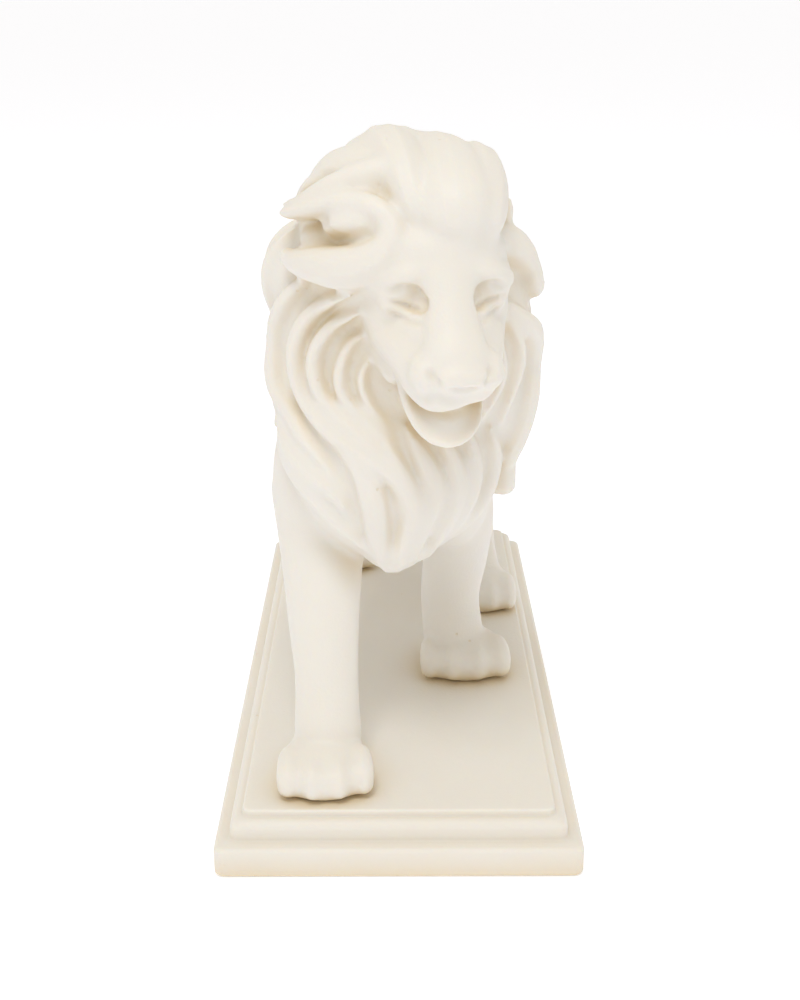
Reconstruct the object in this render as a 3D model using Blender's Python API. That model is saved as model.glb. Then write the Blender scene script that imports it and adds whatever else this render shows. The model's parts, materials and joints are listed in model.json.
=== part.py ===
"""A walking lion cast in white stone, standing on its own stepped oblong plinth."""

import math

import bmesh
import bpy
import numpy as np
from mathutils import Euler, Matrix, Vector
from mathutils.bvhtree import BVHTree

# The plinth: three tiers, each inset from the one below, in metres.
PLINTH_WIDTH = 0.085
PLINTH_LENGTH = 0.186
BASE_TIER_HEIGHT = 0.0075
MOULDING_HEIGHT = 0.0048
DECK_HEIGHT = 0.0017
MOULDING_INSET = 0.0035
DECK_INSET = 0.0063
CORNER_RADIUS = 0.0022
EDGE_ROUNDING = 0.0011
CORNER_STEPS = 4
ARC_STEPS = 3

# The figure, from its soles to the top of its hair, in metres. Its forms are drawn in
# small units from the middle of the deck, facing -Y, and brought to this height.
FIGURE_HEIGHT = 0.1495
SEAT_GAP = 0.0003

# Paws: the middle of the front edge, the width and the turn in degrees.
PAWS = (
    (-16.7, -86, 23, 4),
    (18.6, -27.5, 25, 2),
    (25.5, 16, 20.5, -2),
    (-16, 47, 20, 3),
)
HEAD_AT = (7.5, -64.6, 114)
HEAD_TURN = 12
NECK_AXIS_Y = -44

# How finely the forms are fused, in drawn units, and how often each skin is softened.
BODY_GRAIN = 1.4
BODY_ROUNDS = 14
MASS_ROUNDS = 10
SKULL_GRAIN = 0.7
SKULL_ROUNDS = 3
SKIN_GRAIN = 0.8

# A bar has this many sides. A lock has this many stations for each of its places.
SIDES = 12
STATIONS = 7

# The mane's ground is raised by this much between the locks, and the soles are cut flat
# this far up. The figure is thinned to this many triangles.
BED = 1.1
SOLE = 0.4
FACE_COUNT = 9200

PLINTH_HEIGHT = BASE_TIER_HEIGHT + MOULDING_HEIGHT + DECK_HEIGHT
STONE_COLOUR = (0.90, 0.87, 0.80, 1.0)


def clear_scene():
    for item in list(bpy.data.objects):
        bpy.data.objects.remove(item)


def stone(name):
    material = bpy.data.materials.new(name)
    material.use_nodes = True
    shader = material.node_tree.nodes["Principled BSDF"]
    shader.inputs["Base Color"].default_value = STONE_COLOUR
    shader.inputs["Roughness"].default_value = 0.55
    shader.inputs["Metallic"].default_value = 0.0
    return material


def stand(mesh, name, material):
    """Puts a mesh in the scene as one named piece."""
    piece = bpy.data.objects.new(name, mesh)
    bpy.context.collection.objects.link(piece)
    piece.data.materials.append(material)
    return piece


def smooth_curve(points, count):
    """Points spaced evenly in parameter along a smooth curve through the given ones."""
    points = np.array(points, float)
    if points.ndim == 1:
        points = points[:, None]
    last = len(points) - 1
    padded = np.vstack([2 * points[0] - points[1], points, 2 * points[-1] - points[-2]])
    made = []
    for at in np.linspace(0, last, count):
        k = min(int(at), last - 1)
        t = at - k
        a, b, c, d = padded[k : k + 4]
        bend = 2 * a - 5 * b + 4 * c - d + t * (3 * (b - c) + d - a)
        made.append(b + 0.5 * t * (c - a + t * bend))
    return np.array(made)


def unit(rows):
    return rows / (np.linalg.norm(rows, axis=-1, keepdims=True) + 1e-9)


class Clay:
    """Closed forms that overlap, gathered until they are fused into one skin."""

    def __init__(self, frame=None):
        self.bm = bmesh.new()
        self.frame = frame or Matrix.Identity(4)

    def ball(self, centre, radii, turn=(0, 0, 0)):
        """An ellipsoid, turned by degrees about X, Y and Z."""
        rotation = Euler([math.radians(a) for a in turn]).to_matrix().to_4x4()
        place = self.frame @ Matrix.Translation(centre) @ rotation @ Matrix.Diagonal((*radii, 1))
        bmesh.ops.create_icosphere(self.bm, subdivisions=3, radius=1, matrix=place)

    def limb(self, points, sizes, outward=(1, 0, 0), stations=0):
        """A rounded bar through the points. A size is a radius, or the half width
        across and the half depth along outward."""
        stations = stations or 5 * len(points)
        sizes = [(s, s) if np.isscalar(s) else s for s in sizes]
        self.bar(smooth_curve(points, stations), smooth_curve(sizes, stations), outward)

    def bar(self, path, sizes, outward, tilt=0, rooted=1):
        """A round-ended bar with an oval section at each station of its path. Its section
        can lean by tilt degrees, and its inner half can be rooted deeper."""
        tangent = unit(np.gradient(path, axis=0))
        flat = unit(np.cross(tangent, np.broadcast_to(outward, path.shape)))
        up = np.cross(flat, tangent)
        lean = math.radians(tilt)
        across = flat * math.cos(lean) + up * math.sin(lean)
        out = up * math.cos(lean) - flat * math.sin(lean)
        stations = [(path[k], sizes[k], k) for k in range(len(path))]
        for share in (0.97, 0.75, 0.35, 0.02):
            for end, step in ((0, -1), (len(path) - 1, 1)):
                rise = math.sqrt(1 - share * share) * sizes[end].mean() * 0.8
                ring = (path[end] + step * tangent[end] * rise, sizes[end] * share, end)
                stations.insert(0 if step < 0 else len(stations), ring)
        loops = []
        turns = np.linspace(0, 2 * math.pi, SIDES, endpoint=False)
        wide_share = np.cos(turns)
        deep_share = np.sin(turns)
        under = np.minimum(deep_share, 0) * rooted
        if rooted > 1:
            upright = np.sign(wide_share) * np.abs(wide_share) ** 0.4
            wide_share = np.where(under < -1e-6, upright, wide_share)
        deep_share = np.maximum(deep_share, 0)
        for centre, (wide, deep), k in stations:
            spots = (
                centre
                + across[k] * (wide * wide_share)[:, None]
                + out[k] * (deep * deep_share)[:, None]
                + up[k] * (deep * under)[:, None]
            )
            loops.append([self.bm.verts.new(self.frame @ Vector(spot)) for spot in spots])
        faces = [self.bm.faces.new(loops[0]), self.bm.faces.new(loops[-1][::-1])]
        for low, high in zip(loops, loops[1:]):
            for k in range(SIDES):
                n = (k + 1) % SIDES
                faces.append(self.bm.faces.new((low[n], low[k], high[k], high[n])))
        bmesh.ops.recalc_face_normals(self.bm, faces=faces)

    def add(self, mesh):
        self.bm.from_mesh(mesh)

    def fuse(self, grain, rounds):
        """One closed skin round all the forms, softened by rounds of smoothing."""
        mesh = bpy.data.meshes.new("clay")
        self.bm.to_mesh(mesh)
        self.bm.free()
        holder = bpy.data.objects.new("clay", mesh)
        bpy.context.collection.objects.link(holder)
        remesh = holder.modifiers.new("skin", "REMESH")
        remesh.mode = "VOXEL"
        remesh.voxel_size = grain
        smooth = holder.modifiers.new("soften", "SMOOTH")
        smooth.factor = 0.5
        smooth.iterations = rounds
        graph = bpy.context.evaluated_depsgraph_get()
        made = bpy.data.meshes.new_from_object(holder.evaluated_get(graph))
        bpy.data.objects.remove(holder)
        return made


def trunk():
    """Chest, barrel, loins, haunches and the four legs."""
    clay = Clay()
    clay.ball((-4, -32, 70), (26, 26, 27))
    clay.ball((-1, -6, 73), (23, 38, 24))
    clay.ball((0, 26, 76), (20, 34, 20))
    clay.ball((0, 50, 78), (20, 21, 21))
    clay.ball((-17, -40, 68), (13.6, 18, 25), turn=(0, 6, 0))
    clay.ball((11.3, -30, 67), (13, 17, 25), turn=(0, -5, 0))
    # Front legs: the right one reaches forward, the left one stands under the chest.
    clay.limb(
        [(-19, -40, 62), (-18.6, -47, 48), (-18.1, -55, 34), (-17.3, -61, 20), (-17, -67, 8)],
        [12.4, 10.4, 8.9, 7.9, 8.4],
    )
    clay.limb(
        [(12, -28, 62), (14.6, -21, 47), (15.4, -14, 33), (14.4, -9, 19), (15.5, -12, 8)],
        [11.8, 10.7, 9, 8.3, 8.6],
    )
    clay.ball((-18.5, -36, 49), (7.5, 8, 9), turn=(-25, 0, 0))
    clay.ball((14, -13, 47), (7.5, 8, 9), turn=(-15, 0, 0))
    # Hind legs: the left one has stepped forward, the right one pushes off behind.
    clay.ball((15, 43, 68), (12.5, 20, 25), turn=(18, 0, 0))
    clay.ball((-15, 53, 66), (12.5, 19, 25), turn=(-14, 0, 0))
    clay.limb(
        [(16, 32, 58), (18, 28, 47), (21, 36, 36), (23, 46, 27), (24, 41, 14), (25, 34, 6)],
        [13, 11, 8.6, 6.8, 6.6, 7.4],
    )
    clay.limb(
        [(-16, 50, 56), (-17, 50, 44), (-17, 62, 34), (-17, 74, 25), (-16.5, 70, 13), (-16, 63, 6)],
        [14, 11.5, 8.6, 6.8, 6.6, 7.4],
    )
    clay.ball((22.5, 48, 30), (5, 5.5, 6))
    clay.ball((-17, 76, 28), (5, 5.5, 6))
    return clay


def tail(clay):
    """It hangs behind the right hock and its tuft lies against that leg."""
    clay.limb(
        [(0, 66, 88), (0, 76, 82), (-2, 82, 66), (-6, 83, 48), (-11, 80, 34), (-13, 81, 20)],
        [6, 4.6, 3.6, 3.4, 3.8, 5.5],
    )
    clay.ball((-13, 81, 13), (5, 5, 9.5), turn=(8, 0, 0))


def paw(clay, x, y, width, turn):
    """A squat rounded paw with four toes; x, y is the middle of its front edge."""
    clay.frame = Matrix.Translation((x, y, 0)) @ Matrix.Rotation(math.radians(turn), 4, "Z")
    half = width / 2 - 4.4
    clay.limb([(-half, 7, 4.0), (0, 5.4, 4.0), (half, 7, 4.0)], [4.0, 4.3, 4.0], (0, 0, 1))
    clay.ball((0, 13.5, 4.2), (width * 0.46, 11.5, 6.6))
    pitch = width / 4.15
    for k in range(4):
        back = 1.7 if k in (0, 3) else 0
        across = (k - 1.5) * pitch
        clay.limb(
            [
                (across * 0.85, 15.5, 6.4),
                (across * 0.98, 9.5 + back, 6.9),
                (across * 1.03, 4.6 + back, 5.6),
                (across * 1.02, 3.3 + back, 3),
            ],
            [(pitch * 0.4, 2), (pitch * 0.5, 2.7), (pitch * 0.52, 3.1), (pitch * 0.5, 2.9)],
            outward=(0, -0.6, 0.8),
        )
    clay.frame = Matrix.Identity(4)


def mane_mass():
    """The body of the mane, which the locks are laid on."""
    clay = Clay()
    clay.ball((-0.5, -49, 124), (20.5, 25, 22))
    clay.ball((-4, -44, 93), (24.2, 17, 22))
    clay.ball((1.5, -46, 104), (28, 21, 32))
    clay.ball((-10.6, -42, 115), (18.5, 16, 15))
    clay.ball((-1.8, -48, 76), (24.2, 19, 28))
    clay.ball((-1, -56, 59), (9, 7.5, 11))
    clay.ball((0, -29, 98), (24, 25, 26))
    clay.ball((-1, -38, 112), (23, 24, 23))
    clay.ball((0, -21, 84), (26, 22, 22))
    clay.ball((18.5, -47, 92), (10, 11, 20))
    return clay.fuse(BODY_GRAIN, MASS_ROUNDS)


def head(clay):
    """Skull, brows, muzzle, jaw and eyes, in the frame of the turned head."""
    clay.frame = Matrix.Translation(HEAD_AT) @ Matrix.Rotation(math.radians(HEAD_TURN), 4, "Z")
    clay.ball((0, -0.5, 9), (16, 13, 12))
    clay.ball((0, -3.6, 11.5), (14.5, 11.2, 9))
    clay.ball((0, -4.5, 2), (12, 9.5, 13))
    # From the forehead down the bridge of the nose, which widens to the nose.
    clay.limb(
        [(0, -6.5, 17), (0, -11.2, 10.5), (0, -14.2, 4), (0, -17.2, -2), (0, -21, -7), (0, -23.2, -10.2)],
        [(10, 4), (8, 3.8), (5.4, 3.9), (6, 4.3), (6.9, 4.5), (6.6, 3.8)],
        outward=(0, -0.9, 0.44),
    )
    clay.ball((0.3, -24.6, -10.6), (6.6, 3.5, 3.4), turn=(-28, 0, 0))
    clay.ball((0, -19.5, -11.5), (6.6, 6.4, 6))
    for side in (-1, 1):
        # Brow, cheekbone, cheek and the corner of the mouth.
        clay.limb(
            [(side * 3.4, -11.4, 9.8), (side * 8.6, -10.9, 8.9), (side * 13.4, -7, 6.9)],
            [3, 3.1, 2.7],
        )
        clay.ball((side * 10, -1.5, -1.5), (6, 8, 9), turn=(0, side * 8, 0))
        clay.ball((side * 11, -2, 5), (5.6, 7, 7))
        clay.ball((side * 5.2, -10.4, -5), (5.2, 7, 10), turn=(-30, 0, 0))
        clay.limb(
            [(side * 8.4, -4, -5), (side * 7, -12, -8.6), (side * 5.4, -18.6, -12)],
            [6.6, 5.4, 4.6],
        )
        clay.limb([(side * 10, 2, -8), (side * 9, -5, -14)], [5, 3.2])
        # The rounded whisker pad beside the nose.
        clay.ball((side * 5.8, -18.9, -8.6), (3.8, 4.9, 4.9), turn=(20, 0, 0))
        # Eyeball under its heavy lids.
        clay.ball((side * 9.6, -8.6, 2.2), (4.4, 3.2, 3))
        clay.ball((side * 9.6, -9.2, 4), (4.7, 3.2, 2.3))
    # The upper lip hangs over the mouth like an apron.
    clay.limb(
        [
            (-9, -12, -10.5),
            (-8.2, -17.4, -13.4),
            (-5.4, -21, -15.8),
            (-2, -22.6, -15.6),
            (1.6, -22.7, -14.6),
            (5, -21.4, -14.2),
            (7.6, -17.6, -13.2),
            (8.6, -12, -11),
        ],
        [2.2, 2.3, 2.4, 2.3, 2.2, 2.3, 2.2, 2.2],
    )
    clay.ball((-0.6, -17.6, -13), (6.6, 4.2, 4.2))
    # The lower jaw is a shallow scoop with a thin rim, open in front under the lip.
    clay.limb(
        [
            (-8.8, -8, -13.4),
            (-8.6, -13.8, -17.6),
            (-7.8, -17.4, -21),
            (-6, -20.2, -23.6),
            (-3.6, -21.8, -24.9),
            (-0.8, -22.2, -25.1),
            (2, -21.7, -24.2),
            (4.4, -20.2, -22.2),
            (5.7, -17.2, -19.6),
            (8, -9, -16),
        ],
        [(1.6, 2), (1.5, 2), (1.3, 1.6), (1.2, 1.3), 1.1, 1.1, 1.1, 1.1, 1.2, 1.4],
        outward=(0, 0, 1),
    )
    clay.ball((-1.2, -13.4, -22), (7.8, 9.3, 3), turn=(17, 0, 0))
    clay.limb([(0, 0, -19), (0, -10, -25)], [(9, 5), (6.4, 3)], outward=(0, 0, 1))
    clay.frame = Matrix.Identity(4)


def ears(clay, mane):
    """The right ear is a leaf inside its curl of hair; the left one shows only its tip."""
    mane.lock(clay, [(-30, 129.6), (-22, 130.8), (-15, 131.2), (-9, 130.2)], 2.6, 2.8, lift=0.35,
              widths=[1.3, 2.7, 2.8, 1.2])
    clay.ball((23, -52, 129.6), (2.3, 2.8, 5), turn=(0, 10, 0))


def forelock(clay):
    """The roll of hair swept forward over the brow, in three strands."""
    clay.ball((5, -54, 132), (14, 17, 12))
    upward = [(0, 0.1, 1), (0, -0.2, 1), (0, -0.7, 0.8), (0, -1, 0.2), (0, -0.8, -0.5)]
    left = (-4, -2.8, 0.4, 3.4, 5.4), (-36, -50, -62, -70, -71.5), (140, 143, 141, 136, 130)
    middle = (4, 7.4, 10, 11.4, 12), (-34, -48, -63, -73, -74.5), (138.6, 141.2, 139.6, 135.2, 128.8)
    right = (12, 16.2, 17.8, 17.8, 17.4), (-34, -47, -60, -69.5, -71.5), (136.6, 139, 137.4, 133.4, 129.4)
    for (x, y, z), half_widths in (
        (left, (6.8, 7, 6, 4.6, 2.6)),
        (middle, (8.4, 9.2, 8.8, 8, 5)),
        (right, (6, 6.2, 5.6, 4.8, 3.4)),
    ):
        path = smooth_curve(list(zip(x, y, z)), 25)
        sizes = smooth_curve(list(zip(half_widths, (5, 7, 7.4, 6.4, 4))), 25)
        clay.bar(path, sizes, smooth_curve(upward, 25))


class Mane:
    """Lays locks on the surface below them."""

    def __init__(self, surface):
        self.tree = BVHTree.FromPolygons(
            [v.co[:] for v in surface.vertices], [p.vertices[:] for p in surface.polygons]
        )

    def around(self, azimuth, height):
        """The place at an azimuth round the neck, 0 in front and positive towards the
        lion's left, and a height."""
        a = math.radians(azimuth)
        ray = Vector((math.sin(a), -math.cos(a), 0))
        axis = Vector((0, NECK_AXIS_Y, height))
        spot, normal, _, _ = self.tree.ray_cast(axis + ray * 90, -ray)
        return (spot, normal) if spot else (axis + ray * 20, ray)

    def above(self, x, y):
        """The place seen from above at x and y."""
        spot, normal, _, _ = self.tree.ray_cast(Vector((x, y, 200)), Vector((0, 0, -1)))
        if spot is None:
            spot, normal, _, _ = self.tree.find_nearest(Vector((x, y, 125)))
        return spot, normal

    def lock(self, clay, controls, width, depth, lift=0.4, place=None, tip=0.3, root=0.2,
             widths=None, tilt=0, settle=0.8, rise=(1, 1)):
        """One tapered lock through a few places on the surface."""
        count = STATIONS * len(controls)
        place = place or self.around
        found = [place(*at) for at in smooth_curve(controls, count)]
        share = np.linspace(0, 1, count)
        if widths is not None:
            swell = smooth_curve(widths, count)[:, 0] / width
        else:
            swell = np.sin(math.pi * share**0.85) ** 0.6
            swell = np.maximum(swell * (1 - 0.3 * share**2), root + (tip - root) * share)
        heights = smooth_curve(rise, count)[:, 0] * depth * lift * (1 - settle * share**4)
        path = np.array([spot + normal * h for (spot, normal), h in zip(found, heights)])
        normals = np.array([normal for _, normal in found])
        for _ in range(3):
            path[1:-1] = (path[:-2] + 2 * path[1:-1] + path[2:]) / 4
            normals[1:-1] = (normals[:-2] + 2 * normals[1:-1] + normals[2:]) / 4
        sizes = np.stack([width * swell, depth * (0.35 + 0.65 * swell)], axis=1)
        clay.bar(path, sizes, unit(normals), tilt, rooted=1.7)

    def fan(self, clay, first, last, count, width, depth, **more):
        """Locks spread evenly from the first to the last, each with the same number
        of places."""
        first = np.array(first, float)
        last = np.array(last, float)
        for k in range(count):
            share = k / max(count - 1, 1)
            wave = 1 + 0.12 * math.cos(2.6 * k)
            self.lock(clay, first + (last - first) * share, width * wave, depth * wave, **more)


CHEEK_LOCKS = (
    (3.2, 3.2, 14, [(-46, 120), (-66, 112), (-79, 102), (-78, 91), (-60, 84), (-40, 77), (-28, 70)]),
    (2.6, 3.4, 18, [
        (-18, 118), (-34, 115), (-50, 109), (-58, 100), (-56, 91), (-40, 85),
        (-18, 79.5), (-4, 75), (3, 68), (3, 60), (-3, 53),
    ]),
    (2.3, 3.2, 18, [
        (-14, 115), (-32, 110), (-45, 102), (-45, 94), (-36, 88),
        (-21, 84), (-9, 79), (-2, 73), (-3, 66),
    ]),
    (1.9, 2.8, 14, [(-12, 110), (-27, 104), (-32, 96), (-26, 90), (-13, 85), (-4, 80), (2, 75)]),
    (1.5, 2.4, 8, [(-12, 104), (-20, 98), (-16, 91), (-8, 86), (0, 81)]),
)
CHEST_LOCKS = (
    (3.4, 3.0, 10, [(-88, 90), (-66, 80), (-48, 74), (-34, 70), (-26, 62)]),
    (3.0, 2.8, 10, [(-84, 81), (-62, 74), (-47, 69), (-36, 63), (-24, 57), (-12, 52)]),
    (3.4, 3.0, 6, [(-34, 82), (-20, 77), (-14, 69), (-13, 60), (-9, 52), (-4, 46)]),
    (3.0, 3.0, 0, [(-8, 84), (0, 76), (8, 68), (6, 60), (-1, 52), (-3, 44)]),
    (3.0, 2.8, -4, [(4, 86), (14, 78), (20, 71), (16, 63), (10, 55), (6, 46)]),
    (2.8, 2.6, -4, [(20, 86), (31, 77), (34, 70), (30, 62), (24, 54), (17, 48)]),
    (2.6, 2.6, -8, [(38, 86), (44, 77), (44, 69), (40, 61), (34, 54)]),
    (3.0, 2.6, -8, [(58, 84), (64, 74), (58, 66), (48, 60), (42, 54)]),
)
LEFT_LOCKS = (
    (1.7, 2.4, -12, [(40, 113), (50, 105), (55, 97), (53, 89), (50, 82)]),
    (1.9, 2.6, -14, [(42, 117), (58, 108), (66, 99), (64, 89), (62, 80)]),
    (3.4, 3.4, -16, [
        (48, 115), (64, 108.5), (78, 103), (83, 96),
        (79, 87), (76, 79), (79, 72.5), (80, 67.2),
    ]),
)


def locks(clay, mane):
    for width, depth, tilt, places in CHEEK_LOCKS + CHEST_LOCKS:
        mane.lock(clay, places, width, depth, lift=0.55, tilt=tilt)
    for width, depth, tilt, places in LEFT_LOCKS:
        blunt = width > 3
        mane.lock(clay, places, width, depth, lift=0.6, tilt=tilt, tip=0.95 if blunt else 0.3,
                  settle=-1.3 if blunt else 0.8)
    # Behind the cheek locks, from the temple down over the point of the shoulder.
    mane.fan(
        clay,
        [(-118, 130), (-122, 114), (-116, 98), (-110, 86), (-112, 76)],
        [(-80, 126), (-92, 114), (-94, 101), (-88, 90), (-78, 82)],
        4,
        4.0,
        3.2,
        lift=0.2,
    )
    mane.lock(clay, [(36, 131), (54, 129), (72, 124), (81, 118), (83, 113.5)], 4.8, 4, lift=0.7,
              tip=0.85, settle=0, rise=(1, 1.1, 1.5, 1.2, 0.9))
    # Swept up from the parting, back over the ear.
    mane.lock(
        clay,
        [(14, 130), (12, 136.5), (0, 140), (-16, 139.6), (-33, 136.8), (-50, 133.4), (-70, 131)],
        3.4,
        3.4,
        lift=0.55,
        root=0.8,
        tilt=8,
        settle=0,
        rise=(1, 1, 1, 1.1, 1.6, 2.4),
    )
    mane.lock(
        clay,
        [(6, 141), (-16, 144), (-36, 142.4), (-52, 139), (-70, 134), (-84, 128)],
        3.8,
        2.4,
        root=0.8,
        tilt=8,
        settle=0,
        rise=(0.2, 0.2, 0.4, 1.2, 2.6, 2.8),
    )
    mane.fan(
        clay,
        [(-3, -64), (-11, -56), (-17, -45), (-20, -32)],
        [(14, -54), (18, -42), (20, -31), (21, -20)],
        6,
        5,
        3,
        place=mane.above,
        lift=0.25,
    )
    # The lock that rounds the ear like a ram's horn.
    mane.lock(
        clay,
        [
            (-66, 129.6),
            (-44, 132.2),
            (-26, 134.4),
            (-12, 134.4),
            (-3, 131.6),
            (-3.5, 127.5),
            (-11, 124),
            (-22, 122.6),
            (-38, 122.4),
            (-66, 121),
        ],
        4.4,
        3.6,
        lift=0.7,
        widths=[1.0, 1.9, 2.3, 2.4, 2.6, 3.3, 4.2, 4.4, 3.6, 2.0],
        settle=0,
        rise=(2.1, 1.3, 1, 1, 1, 1, 1.1, 1.5),
    )
    # Tiers of locks over the crest of the neck and the withers.
    for tier, (top, fall, start, end, count) in enumerate(
        ((138, 30, 98, 262, 9), (122, 32, 92, 250, 10), (104, 38, 84, 244, 10))
    ):
        for k in range(count):
            azimuth = start + (end - start) * (k + 0.5 * (tier % 2)) / count
            middle = math.exp(-(((azimuth - 178) / 30) ** 2))
            if tier == 2 and middle > 0.4:
                continue
            bend = 8 if azimuth < 180 else -8
            drop = fall * (1 - 0.35 * middle) * (1 + 0.1 * math.cos(2.3 * k))
            mane.lock(
                clay,
                [
                    (azimuth - bend, top),
                    (azimuth + bend * 0.3, top - drop * 0.3),
                    (azimuth + bend * 0.1, top - drop * 0.55),
                    (azimuth - bend * 0.5, top - drop * 0.8),
                    (azimuth + bend * 0.2, top - drop),
                ],
                4.4,
                3.4,
            )


def swell(mesh, height):
    """Moves a skin outwards, so that it fills the bottoms of the cracks between locks."""
    for vertex, normal in [(v, v.normal.copy()) for v in mesh.vertices]:
        vertex.co += normal * height


def dent(mesh, centre, reach, depth):
    """Presses a soft hollow into a mesh, towards the neck."""
    centre = Vector(centre)
    inward = (Vector((0, NECK_AXIS_Y, centre.z)) - centre).normalized()
    for vertex in mesh.vertices:
        near = (vertex.co - centre).length / reach
        vertex.co += inward * depth * math.exp(-(near**4))


def build_figure():
    body = trunk().fuse(BODY_GRAIN, BODY_ROUNDS)
    mass = mane_mass()
    skull = Clay()
    head(skull)
    skull = skull.fuse(SKULL_GRAIN, SKULL_ROUNDS)
    ground = Clay()
    ground.add(body)
    ground.add(mass)
    ground = ground.fuse(BODY_GRAIN, 6)
    dent(mass, (-16, -66, 128), 8, 5)
    swell(mass, BED)
    clay = Clay()
    for part in (body, mass, skull):
        clay.add(part)
    tail(clay)
    for x, y, width, turn in PAWS:
        paw(clay, x, y, width, turn)
    forelock(clay)
    locks(clay, Mane(ground))
    ears(clay, Mane(ground))
    return lighten(rest_flat(clay.fuse(SKIN_GRAIN, 2)), FACE_COUNT)


def islands(bm):
    """The connected skins of a mesh, each as a set of vertices."""
    left = set(bm.verts)
    found = []
    while left:
        stack = [left.pop()]
        skin = set(stack)
        while stack:
            for edge in stack.pop().link_edges:
                for vertex in edge.verts:
                    if vertex not in skin:
                        skin.add(vertex)
                        stack.append(vertex)
        left -= skin
        found.append(skin)
    return found


def rest_flat(figure):
    """Keeps the one outer skin and flattens the soles on one plane."""
    bm = bmesh.new()
    bm.from_mesh(figure)
    skins = sorted(islands(bm), key=len)
    for skin in skins[:-1]:
        bmesh.ops.delete(bm, geom=list(skin), context="VERTS")
    for vertex in bm.verts:
        vertex.co.z = max(vertex.co.z - SOLE, 0)
    bm.to_mesh(figure)
    bm.free()
    return figure


def lighten(mesh, faces):
    """Thins a mesh to about a number of triangles, most where it bends most."""
    holder = bpy.data.objects.new("clay", mesh)
    bpy.context.collection.objects.link(holder)
    triangles = sum(len(p.vertices) - 2 for p in mesh.polygons)
    thin = holder.modifiers.new("thin", "DECIMATE")
    thin.ratio = faces / triangles
    thin.use_collapse_triangulate = True
    graph = bpy.context.evaluated_depsgraph_get()
    made = bpy.data.meshes.new_from_object(holder.evaluated_get(graph))
    bpy.data.objects.remove(holder)
    return made


def rounded_rectangle(width, length, radius):
    """Corner arcs of a rectangle, anticlockwise from its +X, +Y corner."""
    centres = ((1, 1, 0), (-1, 1, 90), (-1, -1, 180), (1, -1, 270))
    points = []
    for sx, sy, start in centres:
        for k in range(CORNER_STEPS + 1):
            a = math.radians(start + 90 * k / CORNER_STEPS)
            points.append(
                (
                    sx * (width / 2 - radius) + radius * math.cos(a),
                    sy * (length / 2 - radius) + radius * math.sin(a),
                )
            )
    return points


def arc(inset, z, radius, start, end):
    """(inset, height) pairs round an arc, its angles measured up from pointing inwards."""
    turns = np.radians(np.linspace(start, end, ARC_STEPS + 1))
    return [(inset + radius * math.cos(a), z + radius * math.sin(a)) for a in turns]


def plinth_profile():
    """(inset, height) from the underside up to the deck."""
    top_of_base = BASE_TIER_HEIGHT
    top_of_moulding = BASE_TIER_HEIGHT + MOULDING_HEIGHT
    ovolo = (DECK_INSET - MOULDING_INSET) * 0.75
    r = EDGE_ROUNDING
    return [
        *arc(r, r, r, 270, 180),
        *arc(r, top_of_base - r, r, 180, 90),
        (MOULDING_INSET, top_of_base),
        *arc(MOULDING_INSET + ovolo, top_of_moulding - ovolo, ovolo, 180, 90),
        (DECK_INSET, top_of_moulding),
        *arc(DECK_INSET + r / 2, PLINTH_HEIGHT - r / 2, r / 2, 180, 90),
    ]


def build_plinth():
    bm = bmesh.new()
    rings = []
    for inset, z in plinth_profile():
        outline = rounded_rectangle(
            PLINTH_WIDTH - 2 * inset, PLINTH_LENGTH - 2 * inset, CORNER_RADIUS
        )
        rings.append([bm.verts.new((x, y, z)) for x, y in outline])
    for low, high in zip(rings, rings[1:]):
        for k in range(len(low)):
            n = (k + 1) % len(low)
            bm.faces.new((low[k], low[n], high[n], high[k]))
    bm.faces.new(rings[0][::-1])
    bm.faces.new(rings[-1])
    mesh = bpy.data.meshes.new("plinth")
    bm.to_mesh(mesh)
    bm.free()
    return mesh


def main():
    clear_scene()
    material = stone("cast_stone")
    plinth = stand(build_plinth(), "plinth", material)
    figure = build_figure()
    scale = FIGURE_HEIGHT / max(vertex.co.z for vertex in figure.vertices)
    figure.transform(
        Matrix.Translation((0, 0, PLINTH_HEIGHT + SEAT_GAP)) @ Matrix.Scale(scale, 4)
    )
    lion = stand(figure, "lion", material)
    for piece in (plinth, lion):
        piece.data.set_sharp_from_angle(angle=math.radians(40))


main()
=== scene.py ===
"""A walking lion cast in white stone, standing on its stepped oblong plinth."""

import json
import math

import bmesh
import bpy
import numpy as np
from mathutils import Euler, Matrix, Vector
from mathutils.bvhtree import BVHTree

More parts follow.
